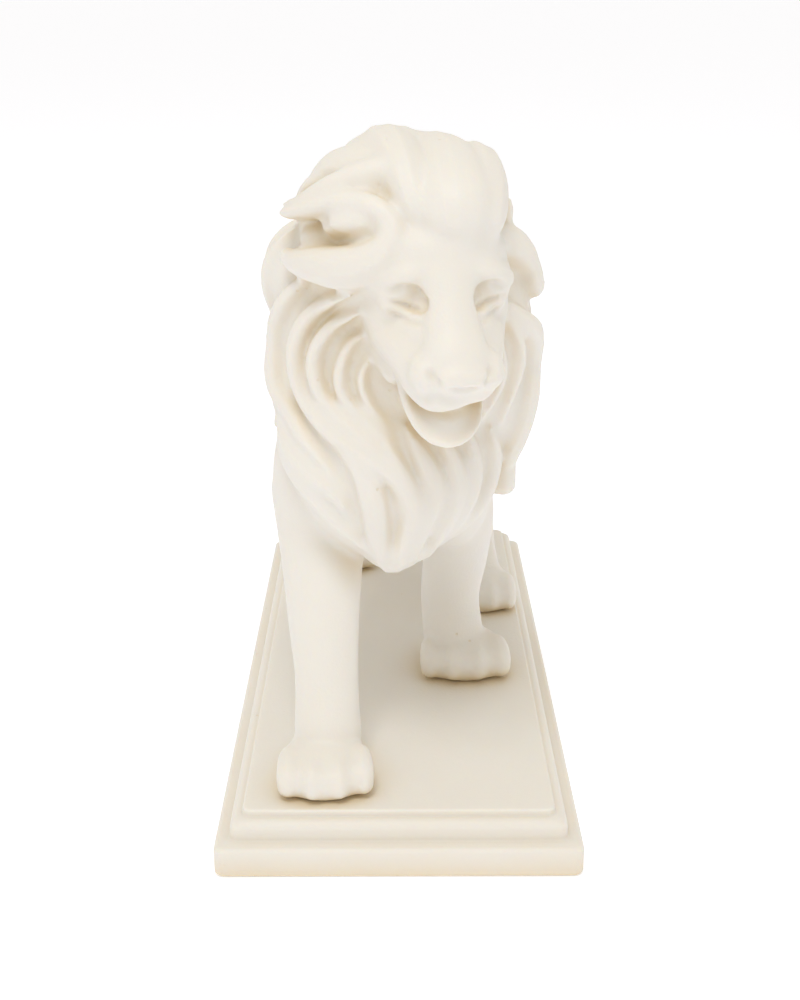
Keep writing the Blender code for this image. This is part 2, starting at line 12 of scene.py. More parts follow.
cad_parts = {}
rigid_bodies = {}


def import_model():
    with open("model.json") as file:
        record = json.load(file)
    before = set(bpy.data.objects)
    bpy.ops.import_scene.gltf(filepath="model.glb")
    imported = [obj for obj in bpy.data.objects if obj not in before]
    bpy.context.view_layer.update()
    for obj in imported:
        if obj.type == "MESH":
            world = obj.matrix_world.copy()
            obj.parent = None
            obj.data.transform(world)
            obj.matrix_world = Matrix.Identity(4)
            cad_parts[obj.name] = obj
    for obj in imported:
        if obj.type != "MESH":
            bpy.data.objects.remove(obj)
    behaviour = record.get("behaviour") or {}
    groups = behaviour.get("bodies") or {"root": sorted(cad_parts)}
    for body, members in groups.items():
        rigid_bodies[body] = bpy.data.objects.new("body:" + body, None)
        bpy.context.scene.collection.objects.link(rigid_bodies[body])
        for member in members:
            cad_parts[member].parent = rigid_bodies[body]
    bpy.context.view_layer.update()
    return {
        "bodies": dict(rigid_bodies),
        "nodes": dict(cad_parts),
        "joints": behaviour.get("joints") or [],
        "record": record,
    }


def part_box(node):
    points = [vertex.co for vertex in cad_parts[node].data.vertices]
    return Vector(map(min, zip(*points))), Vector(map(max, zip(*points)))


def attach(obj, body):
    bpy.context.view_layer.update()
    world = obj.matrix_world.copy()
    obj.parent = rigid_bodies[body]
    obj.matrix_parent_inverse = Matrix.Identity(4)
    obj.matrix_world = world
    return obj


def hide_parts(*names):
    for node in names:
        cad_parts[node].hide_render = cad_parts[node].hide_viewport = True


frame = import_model()


# The stone: white marble dust bound and cast solid, with a fine sugary grain, a faint
# sheen, a few pin-holes, and a warm cream painted shade where light sinks into the hollows.


class Link:
    """A shader socket that can be used in arithmetic."""

    def __init__(self, finish, socket):
        self.finish = finish
        self.socket = socket

    def maths(self, operation, *values):
        return self.finish.add("ShaderNodeMath", {"operation": operation}, dict(enumerate(values)))

    def __add__(self, other):
        return self.maths("ADD", self, other)

    def __mul__(self, other):
        return self.maths("MULTIPLY", self, other)

    def __sub__(self, other):
        return self.maths("SUBTRACT", self, other)

    def __rsub__(self, other):
        return self.maths("SUBTRACT", other, self)

    __radd__ = __add__
    __rmul__ = __mul__


class Finish:
    """A material and the node tree that makes it."""

    def __init__(self, name):
        self.material = bpy.data.materials.new(name)
        self.material.use_nodes = True
        self.tree = self.material.node_tree
        self.shader = self.tree.nodes["Principled BSDF"]

    def add(self, kind, settings, values, output=0):
        """A new node: its settings first, then the values or links of its sockets."""
        node = self.tree.nodes.new(kind)
        for key, value in settings.items():
            setattr(node, key, value)
        self.fill(node, values)
        return Link(self, node.outputs[output])

    def fill(self, node, values):
        for key, value in values.items():
            if isinstance(value, Link):
                self.tree.links.new(value.socket, node.inputs[key])
            else:
                node.inputs[key].default_value = value

    def noise(self, place, scale, detail, roughness=0.5):
        sockets = {"Vector": place, "Scale": scale, "Detail": detail, "Roughness": roughness}
        return self.add("ShaderNodeTexNoise", {}, sockets)

    def step(self, value, start, end):
        """A smooth step from 0 to 1 as the value goes from start to end."""
        return self.add(
            "ShaderNodeMapRange",
            {"interpolation_type": "SMOOTHSTEP"},
            {"Value": value, 1: start, 2: end, 3: 0.0, 4: 1.0},
        )


FACE_TONE = (0.795, 0.765, 0.712, 1.0)
# Painted shade: the darker, warmer colour painted into the hollows and the pin-holes.
PAINTED_SHADE_TONE = (0.73, 0.615, 0.43, 1.0)
GRAIN_PER_METRE = 1300.0
PIN_HOLES_PER_METRE = 230.0


def cast_stone():
    finish = Finish("cast_white_stone")
    place = finish.add("ShaderNodeTexCoord", {}, {}, "Object")
    cloud = finish.noise(place, 34.0, 3.0)
    grain = finish.noise(place, GRAIN_PER_METRE, 3.0, 0.65)
    crystal = finish.add(
        "ShaderNodeTexVoronoi", {}, {"Vector": place, "Scale": GRAIN_PER_METRE, "Randomness": 1.0}
    )
    hole = finish.add(
        "ShaderNodeTexVoronoi", {}, {"Vector": place, "Scale": PIN_HOLES_PER_METRE}
    )
    rare = finish.step(finish.noise(place, 90.0, 1.0), 0.60, 0.72)
    pin = (1.0 - finish.step(hole, 0.05, 0.11)) * rare
    open_air = finish.add(
        "ShaderNodeAmbientOcclusion", {"samples": 12}, {"Distance": 0.012}, "AO"
    )
    # Painted shade: the colour turns towards the darker warm tone where ambient occlusion finds the
    # surface enclosed.
    painted_shade = 1.0 - finish.step(open_air, 0.25, 1.0)
    # The colour mix is painted shade from the enclosed hollows and from inside the pin-holes, plus a real
    # random cloudy tone; the pits' depth comes from the bump.
    tone = painted_shade * 0.9 + cloud * 0.26 + pin * 0.5 - 0.1
    colour = finish.add(
        "ShaderNodeMix",
        {"data_type": "RGBA", "clamp_factor": True},
        {0: tone, 6: FACE_TONE, 7: PAINTED_SHADE_TONE},
        2,
    )
    height = grain * 0.7 + crystal * 0.3 - pin * 2.0
    bump = finish.add(
        "ShaderNodeBump", {}, {"Strength": 0.5, "Distance": 0.00016, "Height": height}
    )
    finish.fill(
        finish.shader,
        {
            "Base Color": colour,
            "Roughness": grain * 0.2 + 0.42,
            "Normal": bump,
            "IOR": 1.49,
            "Specular IOR Level": 0.4,
            "Subsurface Weight": 0.4,
            "Subsurface Radius": (1.0, 0.74, 0.45),
            "Subsurface Scale": 0.0016,
        },
    )
    return finish.material


stone = cast_stone()


def place_piece(mesh, name, node):
    """Puts a finished mesh in the scene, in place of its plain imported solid."""
    mesh.materials.clear()
    mesh.materials.append(stone)
    piece = bpy.data.objects.new(name, mesh)
    bpy.context.collection.objects.link(piece)
    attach(piece, "root")
    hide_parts(node)
    return piece


# The plinth: an oblong slab in three tiers, its edge run from one template all round the
# mould and cast in the same stone. The arrises are a little softened by the casting.

plinth_low, plinth_high = (Vector(corner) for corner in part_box("plinth"))
plinth_size = plinth_high - plinth_low
BASE_TIER_HEIGHT = 0.0075
MOULDING_HEIGHT = 0.0048
MOULDING_INSET = 0.0035
DECK_INSET = 0.0063
CORNER_RADIUS = 0.0022
CORNER_STEPS = 8
EDGE_ROUNDING = 0.0011


def arc(inset, z, radius, start, end, steps=7):
    """(inset, height) pairs round an arc, its angles measured up from pointing inwards."""
    turns = np.radians(np.linspace(start, end, steps))
    return [(inset + radius * math.cos(a), z + radius * math.sin(a)) for a in turns]


def template():
    """The edge's section, from under the slab up on to the deck."""
    shoulder = BASE_TIER_HEIGHT + MOULDING_HEIGHT
    ovolo = (DECK_INSET - MOULDING_INSET) * 0.75
    top = plinth_size.z
    r = EDGE_ROUNDING
    return [
        (r + 0.001, 0),
        *arc(r, r, r, 270, 180),
        *arc(r, BASE_TIER_HEIGHT - r, r, 180, 90),
        (MOULDING_INSET - 0.0005, BASE_TIER_HEIGHT),
        (MOULDING_INSET, BASE_TIER_HEIGHT + 0.0005),
        *arc(MOULDING_INSET + ovolo, shoulder - ovolo, ovolo, 180, 90),
        (DECK_INSET - 0.0003, shoulder),
        (DECK_INSET, shoulder + 0.0003),
        *arc(DECK_INSET + r / 2, top - r / 2, r / 2, 180, 90),
        (DECK_INSET + 0.002, top),
    ]


def template_line():
    """The template as a row of points: X runs inwards from the slab's edge, Z upwards."""
    mesh = bpy.data.meshes.new("edge_template")
    mesh.from_pydata([(inset, 0, height) for inset, height in template()], [], [])
    holder = bpy.data.objects.new("edge_template", mesh)
    bpy.context.collection.objects.link(holder)
    return holder


def slab_tree():
    """Runs the template round a rounded oblong and closes the deck and the underside."""
    tree = bpy.data.node_groups.new("run_edge", "GeometryNodeTree")
    for name, kind in (
        ("Template", "NodeSocketObject"),
        ("Width", "NodeSocketFloat"),
        ("Length", "NodeSocketFloat"),
        ("Corner Radius", "NodeSocketFloat"),
        ("Stone", "NodeSocketMaterial"),
    ):
        tree.interface.new_socket(name, in_out="INPUT", socket_type=kind)
    tree.interface.new_socket("Slab", in_out="OUTPUT", socket_type="NodeSocketGeometry")

    def add(kind, settings=(), values=(), output=0):
        node = tree.nodes.new(kind)
        for key, value in dict(settings).items():
            setattr(node, key, value)
        for key, value in dict(values).items():
            if isinstance(value, bpy.types.NodeSocket):
                tree.links.new(value, node.inputs[key])
            else:
                node.inputs[key].default_value = value
        return node.outputs[output]

    def maths(operation, a, b=0.0):
        return add("ShaderNodeMath", {"operation": operation}, {0: a, 1: b})

    def vector(operation, a, b=(0, 0, 0)):
        return add("ShaderNodeVectorMath", {"operation": operation}, {0: a, 1: b})

    def sampled(geometry, index):
        place = add("GeometryNodeInputPosition")
        settings = {"data_type": "FLOAT_VECTOR", "domain": "POINT"}
        return add(
            "GeometryNodeSampleIndex",
            settings,
            {"Geometry": geometry, "Value": place, "Index": index},
        )

    given = tree.nodes.new("NodeGroupInput").outputs
    oblong = add(
        "GeometryNodeCurvePrimitiveQuadrilateral",
        values={"Width": given["Width"], "Height": given["Length"]},
    )
    rounded = add(
        "GeometryNodeFilletCurve",
        {"mode": "POLY"},
        {"Curve": oblong, "Radius": given["Corner Radius"], "Count": CORNER_STEPS},
    )
    section = add("GeometryNodeObjectInfo", values={"Object": given["Template"]}, output=4)
    count = add("GeometryNodeAttributeDomainSize", {"component": "MESH"}, {"Geometry": section})
    round_count = add(
        "GeometryNodeAttributeDomainSize", {"component": "CURVE"}, {"Geometry": rounded}
    )
    rows = maths("ADD", count, 2.0)
    columns = maths("ADD", round_count, 1.0)
    grid = add("GeometryNodeMeshGrid", values={"Vertices X": columns, "Vertices Y": rows})
    index = add("GeometryNodeInputIndex")
    row = maths("MODULO", index, rows)
    column = maths("MODULO", maths("FLOOR", maths("DIVIDE", index, rows)), round_count)
    level = maths("MAXIMUM", maths("SUBTRACT", row, 1.0), 0.0)
    level = maths("MINIMUM", level, maths("SUBTRACT", count, 1.0))
    cut = sampled(section, level)
    edge = sampled(rounded, column)
    corner = vector("SIGN", edge)
    split = tree.nodes.new("ShaderNodeSeparateXYZ")
    tree.links.new(cut, split.inputs[0])
    inset = split.outputs["X"]
    height = add("ShaderNodeCombineXYZ", values={"Z": split.outputs["Z"]})
    inward = add(
        "ShaderNodeVectorMath",
        {"operation": "SCALE"},
        {0: corner, "Scale": maths("MULTIPLY", inset, -1.0)},
    )
    rim = vector("ADD", vector("ADD", edge, inward), height)
    first = add(
        "FunctionNodeCompare", {"data_type": "FLOAT", "operation": "LESS_THAN"}, {0: row, 1: 0.5}
    )
    last = add(
        "FunctionNodeCompare",
        {"data_type": "FLOAT", "operation": "GREATER_THAN"},
        {0: row, 1: maths("SUBTRACT", rows, 1.5)},
    )
    middle = add("FunctionNodeBooleanMath", {"operation": "OR"}, {0: first, 1: last})
    place = add(
        "GeometryNodeSwitch",
        {"input_type": "VECTOR"},
        {"Switch": middle, "False": rim, "True": height},
    )
    bent = add("GeometryNodeSetPosition", values={"Geometry": grid, "Position": place})
    closed = add("GeometryNodeMergeByDistance", values={"Geometry": bent, "Distance": 0.000002})
    real = add("GeometryNodeRealizeInstances", values={"Geometry": closed})
    dressed = add(
        "GeometryNodeSetMaterial", values={"Geometry": real, "Material": given["Stone"]}
    )
    end = tree.nodes.new("NodeGroupOutput")
    tree.links.new(dressed, end.inputs["Slab"])
    return tree


def run_plinth():
    section = template_line()
    holder = bpy.data.objects.new("plinth_form", bpy.data.meshes.new("plinth_form"))
    bpy.context.collection.objects.link(holder)
    tree = slab_tree()
    run = holder.modifiers.new("run_edge", "NODES")
    run.node_group = tree
    values = {
        "Template": section,
        "Width": plinth_size.x,
        "Length": plinth_size.y,
        "Corner Radius": CORNER_RADIUS,
        "Stone": stone,
    }
    for item in tree.interface.items_tree:
        if item.in_out == "INPUT":
            run[item.identifier] = values[item.name]
    graph = bpy.context.evaluated_depsgraph_get()
    mesh = bpy.data.meshes.new_from_object(holder.evaluated_get(graph))
    bpy.data.objects.remove(holder)
    bpy.data.objects.remove(section)
    return mesh


slab = run_plinth()
middle = (plinth_low + plinth_high) / 2
slab.transform(Matrix.Translation((middle.x, middle.y, plinth_low.z)))
slab.shade_smooth()
place_piece(slab, "plinth_cast", "plinth")


# The lion: carved in clay, moulded, and cast solid in white stone with its four paws on the
# deck. Its forms are drawn in small units from the middle of the deck, facing -Y, then
# fused into one skin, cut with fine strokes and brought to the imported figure's height.

PAWS = (
    (-16.7, -86, 23, 4),
    (18.6, -27.5, 25, 2),
    (25.5, 16, 20.5, -2),
    (-16, 47, 20, 3),
)
HEAD_AT = (7.5, -64.6, 114)
HEAD_TURN = 12
NECK_AXIS_Y = -44
FINE = 2
BODY_GRAIN = 1.0
BODY_ROUNDS = 28
MASS_ROUNDS = 20
SKULL_GRAIN = 0.45
SKULL_ROUNDS = 9
SKIN_GRAIN = 0.55
SIDES = 20
BED = 1.1
SOLE = 0.4
FACE_COUNT = 190000


def smooth_curve(points, count):
    """Points spaced evenly in parameter along a smooth curve through the given ones."""
    points = np.array(points, float)
    if points.ndim == 1:
        points = points[:, None]
    last = len(points) - 1
    padded = np.vstack([2 * points[0] - points[1], points, 2 * points[-1] - points[-2]])
    made = []
    for at in np.linspace(0, last, count):
        k = min(int(at), last - 1)
        t = at - k
        a, b, c, d = padded[k : k + 4]
        bend = 2 * a - 5 * b + 4 * c - d + t * (3 * (b - c) + d - a)
        made.append(b + 0.5 * t * (c - a + t * bend))
    return np.array(made)


def unit(rows):
    return rows / (np.linalg.norm(rows, axis=-1, keepdims=True) + 1e-9)


class Clay:
    """Closed forms that overlap, gathered until they are fused into one skin."""

    def __init__(self, frame=None):
        self.bm = bmesh.new()
        self.frame = frame or Matrix.Identity(4)

    def ball(self, centre, radii, turn=(0, 0, 0)):
        """An ellipsoid, turned by degrees about X, Y and Z."""
        rotation = Euler([math.radians(a) for a in turn]).to_matrix().to_4x4()
        place = self.frame @ Matrix.Translation(centre) @ rotation @ Matrix.Diagonal((*radii, 1))
        bmesh.ops.create_icosphere(self.bm, subdivisions=3, radius=1, matrix=place)

    def limb(self, points, sizes, outward=(1, 0, 0), stations=0):
        """A rounded bar through the points. A size is a radius, or the half width
        across and the half depth along outward."""
        stations = stations or FINE * 5 * len(points)
        sizes = [(s, s) if np.isscalar(s) else s for s in sizes]
        self.bar(smooth_curve(points, stations), smooth_curve(sizes, stations), outward)

    def bar(self, path, sizes, outward, tilt=0, strands=0, groove=0, rooted=1):
        """A round-ended bar with an oval section at each station of its path. Its section
        can lean by tilt degrees, and its outer face can carry fine strands."""
        sides = SIDES * 2 if strands else SIDES
        tangent = unit(np.gradient(path, axis=0))
        flat = unit(np.cross(tangent, np.broadcast_to(outward, path.shape)))
        up = np.cross(flat, tangent)
        lean = math.radians(tilt)
        across = flat * math.cos(lean) + up * math.sin(lean)
        out = up * math.cos(lean) - flat * math.sin(lean)
        stations = [(path[k], sizes[k], k) for k in range(len(path))]
        for share in (0.97, 0.75, 0.35, 0.02):
            for end, step in ((0, -1), (len(path) - 1, 1)):
                rise = math.sqrt(1 - share * share) * sizes[end].mean() * 0.8
                ring = (path[end] + step * tangent[end] * rise, sizes[end] * share, end)
                stations.insert(0 if step < 0 else len(stations), ring)
        loops = []
        turns = np.linspace(0, 2 * math.pi, sides, endpoint=False)
        wide_share = np.cos(turns)
        deep_share = np.sin(turns)
        under = np.minimum(deep_share, 0) * rooted
        if rooted > 1:
            upright = np.sign(wide_share) * np.abs(wide_share) ** 0.4
            wide_share = np.where(under < -1e-6, upright, wide_share)
        if strands:
            cut = 1 - groove * (0.5 - 0.5 * np.cos(2 * math.pi * strands * (wide_share + 0.17)))
            deep_share = deep_share * cut
        deep_share = np.maximum(deep_share, 0)
        for centre, (wide, deep), k in stations:
            spots = (
                centre
                + across[k] * (wide * wide_share)[:, None]
                + out[k] * (deep * deep_share)[:, None]
                + up[k] * (deep * under)[:, None]
            )
            loops.append([self.bm.verts.new(self.frame @ Vector(spot)) for spot in spots])
        faces = [self.bm.faces.new(loops[0]), self.bm.faces.new(loops[-1][::-1])]
        for low, high in zip(loops, loops[1:]):
            for k in range(sides):
                n = (k + 1) % sides
                faces.append(self.bm.faces.new((low[n], low[k], high[k], high[n])))
        bmesh.ops.recalc_face_normals(self.bm, faces=faces)

    def add(self, mesh):
        self.bm.from_mesh(mesh)

    def fuse(self, grain, rounds):
        """One closed skin round all the forms, softened by rounds of smoothing."""
        mesh = bpy.data.meshes.new("clay")
        self.bm.to_mesh(mesh)
        self.bm.free()
        holder = bpy.data.objects.new("clay", mesh)
        bpy.context.collection.objects.link(holder)
        remesh = holder.modifiers.new("skin", "REMESH")
        remesh.mode = "VOXEL"
        remesh.voxel_size = grain
        smooth = holder.modifiers.new("soften", "SMOOTH")
        smooth.factor = 0.5
        smooth.iterations = rounds
        graph = bpy.context.evaluated_depsgraph_get()
        made = bpy.data.meshes.new_from_object(holder.evaluated_get(graph))
        bpy.data.objects.remove(holder)
        return made


def trunk():
    """Chest, barrel, loins, haunches and the four legs."""
    clay = Clay()
    clay.ball((-4, -32, 70), (26, 26, 27))
    clay.ball((-1, -6, 73), (23, 38, 24))
    clay.ball((0, 26, 76), (20, 34, 20))
    clay.ball((0, 50, 78), (20, 21, 21))
    clay.ball((-17, -40, 68), (13.6, 18, 25), turn=(0, 6, 0))
    clay.ball((11.3, -30, 67), (13, 17, 25), turn=(0, -5, 0))
    # Front legs: the right one reaches forward, the left one stands under the chest.
    clay.limb(
        [(-19, -40, 62), (-18.6, -47, 48), (-18.1, -55, 34), (-17.3, -61, 20), (-17, -67, 8)],
        [12.4, 10.4, 8.9, 7.9, 8.4],
    )
    clay.limb(
        [(12, -28, 62), (14.6, -21, 47), (15.4, -14, 33), (14.4, -9, 19), (15.5, -12, 8)],
        [11.8, 10.7, 9, 8.3, 8.6],
    )
    clay.ball((-18.5, -36, 49), (7.5, 8, 9), turn=(-25, 0, 0))
    clay.ball((14, -13, 47), (7.5, 8, 9), turn=(-15, 0, 0))
    # Hind legs: the left one has stepped forward, the right one pushes off behind.
    clay.ball((15, 43, 68), (12.5, 20, 25), turn=(18, 0, 0))
    clay.ball((-15, 53, 66), (12.5, 19, 25), turn=(-14, 0, 0))
    clay.limb(
        [(16, 32, 58), (18, 28, 47), (21, 36, 36), (23, 46, 27), (24, 41, 14), (25, 34, 6)],
        [13, 11, 8.6, 6.8, 6.6, 7.4],
    )
    clay.limb(
        [(-16, 50, 56), (-17, 50, 44), (-17, 62, 34), (-17, 74, 25), (-16.5, 70, 13), (-16, 63, 6)],
        [14, 11.5, 8.6, 6.8, 6.6, 7.4],
    )
    clay.ball((22.5, 48, 30), (5, 5.5, 6))
    clay.ball((-17, 76, 28), (5, 5.5, 6))
    return clay


def tail(clay):
    """It hangs behind the right hock and its tuft lies against that leg."""
    clay.limb(
        [(0, 66, 88), (0, 76, 82), (-2, 82, 66), (-6, 83, 48), (-11, 80, 34), (-13, 81, 20)],
        [6, 4.6, 3.6, 3.4, 3.8, 5.5],
    )
    clay.ball((-13, 81, 13), (5, 5, 9.5), turn=(8, 0, 0))


def paw(clay, x, y, width, turn):
    """A squat rounded paw with four toes; x, y is the middle of its front edge."""
    clay.frame = Matrix.Translation((x, y, 0)) @ Matrix.Rotation(math.radians(turn), 4, "Z")
    half = width / 2 - 4.4
    clay.limb([(-half, 7, 4), (0, 5.2, 4), (half, 7, 4)], [4, 4.3, 4], (0, 0, 1))
    clay.ball((0, 13.5, 4.2), (width * 0.46, 11.5, 6.6))
    pitch = width / 4.15
    for k in range(4):
        back = 1.7 if k in (0, 3) else 0
        across = (k - 1.5) * pitch
        clay.limb(
            [
                (across * 0.85, 15.5, 6.4),
                (across * 0.98, 9.5 + back, 6.9),
                (across * 1.03, 4.6 + back, 5.6),
                (across * 1.02, 3.3 + back, 3),
            ],
            [(pitch * 0.4, 2), (pitch * 0.5, 2.7), (pitch * 0.52, 3.1), (pitch * 0.5, 2.9)],
            outward=(0, -0.6, 0.8),
        )
    clay.frame = Matrix.Identity(4)


def mane_mass():
    """The body of the mane, which the locks are laid on."""
    clay = Clay()
    clay.ball((-0.5, -49, 124), (20.5, 25, 22))
    clay.ball((-4, -44, 93), (24.2, 17, 22))
    clay.ball((1.5, -46, 104), (28, 21, 32))
    clay.ball((-10.6, -42, 115), (18.5, 16, 15))
    clay.ball((-1.8, -48, 76), (24.2, 19, 28))
    clay.ball((-1, -56, 59), (9, 7.5, 11))
    clay.ball((0, -29, 98), (24, 25, 26))
    clay.ball((-1, -38, 112), (23, 24, 23))
    clay.ball((0, -21, 84), (26, 22, 22))
    clay.ball((18.5, -47, 92), (10, 11, 20))
    return clay.fuse(BODY_GRAIN, MASS_ROUNDS)


def head(clay):
    """Skull, brows, muzzle, jaw and eyes, in the frame of the turned head."""
    clay.frame = Matrix.Translation(HEAD_AT) @ Matrix.Rotation(math.radians(HEAD_TURN), 4, "Z")
    clay.ball((0, -0.5, 9), (16, 13, 12))
    clay.ball((0, -3.6, 11.5), (14.5, 11.2, 9))
    clay.ball((0, -4.5, 2), (12, 9.5, 13))
    # From the forehead down the bridge of the nose, which widens to the nose.
    clay.limb(
        [(0, -6.5, 17), (0, -11.2, 10.5), (0, -14.2, 4), (0, -17.2, -2), (0, -21, -7), (0, -23.2, -10.2)],
        [(10, 4), (8, 3.8), (5.4, 3.9), (6, 4.3), (6.9, 4.5), (6.6, 3.8)],
        outward=(0, -0.9, 0.44),
    )
    clay.ball((0.3, -24.6, -10.6), (6.6, 3.5, 3.4), turn=(-28, 0, 0))
    clay.ball((0, -19.5, -11.5), (6.6, 6.4, 6))
    for side in (-1, 1):
        # Brow, cheekbone, cheek and the corner of the mouth.
        clay.limb(
            [(side * 3.4, -11.6, 9.2), (side * 8.6, -11.2, 7.9), (side * 13.4, -7.2, 5.8)],
            [3, 3.1, 2.7],
        )
        clay.ball((side * 10, -1.5, -1.5), (6, 8, 9), turn=(0, side * 8, 0))
        clay.ball((side * 11, -2, 5), (5.6, 7, 7))
        clay.ball((side * 5.2, -10.4, -5), (5.2, 7, 10), turn=(-30, 0, 0))
        clay.limb(
            [(side * 8.4, -4, -5), (side * 7, -12, -8.6), (side * 5.4, -18.6, -12)],
            [6.6, 5.4, 4.6],
        )
        clay.limb([(side * 10, 2, -8), (side * 9, -5, -14)], [5, 3.2])
        # The rounded whisker pad beside the nose.
        clay.ball((side * 6.5, -20.4, -10.1), (3.7, 5, 4.3), turn=(20, 0, 0))
        # Eyeball under its heavy lids.
        clay.ball((side * 9.4, -8.8, 1.6), (4.4, 3.2, 2.8))
        clay.ball((side * 9.4, -9.4, 3.4), (4.7, 3.2, 2.2), turn=(0, side * 8, 0))
    # The upper lip hangs over the mouth like an apron.
    clay.limb(
        [
            (-9, -12, -10.5),
            (-8.2, -17.4, -13.4),
            (-5.4, -21, -15.8),
            (-2, -22.6, -15.6),
            (1.6, -22.7, -14.6),
            (5, -21.4, -14.2),
            (7.6, -17.6, -13.2),
            (8.6, -12, -11),
        ],
        [2.2, 2.3, 2.4, 2.3, 2.2, 2.3, 2.2, 2.2],
    )
    clay.ball((-0.6, -17.6, -13), (6.6, 4.2, 4.2))
    # The lower jaw is a shallow scoop with a thin rim, open in front under the lip.
    clay.limb(
        [
            (-8.8, -8, -13.4),
            (-8.6, -13.8, -17.6),
            (-7.8, -17.4, -21),
            (-6, -20.2, -23.6),
            (-3.6, -21.8, -24.9),
            (-0.8, -22.2, -25.1),
            (2, -21.7, -24.2),
            (4.4, -20.2, -22.2),
            (5.7, -17.2, -19.6),
            (8, -9, -16),
        ],
        [(1.6, 2), (1.5, 2), (1.3, 1.6), (1.2, 1.3), 1.1, 1.1, 1.1, 1.1, 1.2, 1.4],
        outward=(0, 0, 1),
    )
    clay.ball((-1.2, -13.2, -20.2), (7.4, 9, 5.4), turn=(22, 0, 0))
    clay.limb([(0, 0, -19), (0, -10, -25)], [(9, 5), (6.4, 3)], outward=(0, 0, 1))
    clay.frame = Matrix.Identity(4)


def ears(clay, mane):
    """The right ear is a leaf inside its curl of hair; the left one shows only its tip."""
    mane.lock(
        clay,
        [(-27, 131), (-21, 131.6), (-15.5, 131.8), (-9, 130.6)],
        2.8,
        2.8,
        lift=0.35,
        widths=[2, 2.8, 2.8, 1.3],
        strands=0,
    )
    clay.ball((-11.6, -65, 130.3), (5, 3.4, 2.8), turn=(0, 0, -24))
    clay.ball((23, -52, 129.6), (2.3, 2.8, 5), turn=(0, 10, 0))
    clay.ball((-15.6, -57.6, 126.2), (6.4, 5.2, 4.2), turn=(0, 0, -40))
    clay.ball((-6, -64, 138), (5, 5.5, 3.8))


def forelock(clay):
    """The roll of hair swept forward over the brow, in three strands."""
    clay.ball((5, -54, 132), (14, 17, 12))
    crown = [(0, 0.1, 1), (0, -0.2, 1), (0, -0.7, 0.8), (0, -1, 0.2), (0, -0.8, -0.5)]
    faces = smooth_curve(crown, FINE * 25)
    strands_across = (
        (
            (-4, -2.8, 0.4, 3.4, 5.4),
            (-36, -50, -62, -70, -71.5),
            (140, 143, 141, 136, 130),
            (6.8, 7, 6, 4.6, 2.6),
            2,
        ),
        (
            (4, 7.4, 10, 11.4, 12),
            (-34, -48, -63, -73, -74.5),
            (138.6, 141.2, 139.6, 135.2, 128.8),
            (8.4, 9.2, 8.8, 8, 5),
            4,
        ),
        (
            (12, 16.2, 17.8, 17.8, 17.4),
            (-34, -47, -60, -69.5, -71.5),
            (136.6, 139, 137.4, 133.4, 129.4),
            (6, 6.2, 5.6, 4.8, 3.4),
            2,
        ),
    )
    for x, y, z, half, strands in strands_across:
        path = smooth_curve(list(zip(x, y, z)), FINE * 25)
        sizes = smooth_curve([(w, d) for w, d in zip(half, (5, 7, 7.4, 6.4, 4))], FINE * 25)
        clay.bar(path, sizes, faces, 0, strands, 0.1)


class Mane:
    """Lays locks on the surface below them."""

    def __init__(self, surface):
        self.tree = BVHTree.FromPolygons(
            [v.co[:] for v in surface.vertices], [p.vertices[:] for p in surface.polygons]
        )

    def around(self, azimuth, height):
        """The place at an azimuth round the neck, 0 in front and positive towards the
        lion's left, and a height."""
        a = math.radians(azimuth)
        ray = Vector((math.sin(a), -math.cos(a), 0))
        axis = Vector((0, NECK_AXIS_Y, height))
        spot, normal, _, _ = self.tree.ray_cast(axis + ray * 90, -ray)
        return (spot, normal) if spot else (axis + ray * 20, ray)

    def above(self, x, y):
        """The place seen from above at x and y."""
        spot, normal, _, _ = self.tree.ray_cast(Vector((x, y, 200)), Vector((0, 0, -1)))
        if spot is None:
            spot, normal, _, _ = self.tree.find_nearest(Vector((x, y, 125)))
        return spot, normal

    def lock(self, clay, controls, width, depth, lift=0.4, place=None, tip=0.3, root=0.2,
             widths=None, tilt=0, strands=2, groove=0.16, settle=0.8, rise=(1, 1)):
        """One tapered lock through a few places on the surface."""
        count = (4 + 3 * FINE) * len(controls)
        place = place or self.around
        found = [place(*at) for at in smooth_curve(controls, count)]
        share = np.linspace(0, 1, count)
        if widths is not None:
            swell = smooth_curve(widths, count)[:, 0] / width
        else:
            swell = np.sin(math.pi * share**0.85) ** 0.6
            swell = np.maximum(swell * (1 - 0.3 * share**2), root + (tip - root) * share)
        heights = smooth_curve(rise, count)[:, 0] * depth * lift * (1 - settle * share**4)
        path = np.array([spot + normal * h for (spot, normal), h in zip(found, heights)])
        normals = np.array([normal for _, normal in found])
        for _ in range(3 * FINE):
            path[1:-1] = (path[:-2] + 2 * path[1:-1] + path[2:]) / 4
            normals[1:-1] = (normals[:-2] + 2 * normals[1:-1] + normals[2:]) / 4
        sizes = np.stack([width * swell, depth * (0.35 + 0.65 * swell)], axis=1)
        clay.bar(path, sizes, unit(normals), tilt, strands, groove, 1.7)

    def fan(self, clay, first, last, count, width, depth, **more):
        """Locks spread evenly from the first to the last, each with the same number
        of places."""
        first = np.array(first, float)
        last = np.array(last, float)
        for k in range(count):
            share = k / max(count - 1, 1)
            wave = 1 + 0.12 * math.cos(2.6 * k)
            self.lock(clay, first + (last - first) * share, width * wave, depth * wave, **more)


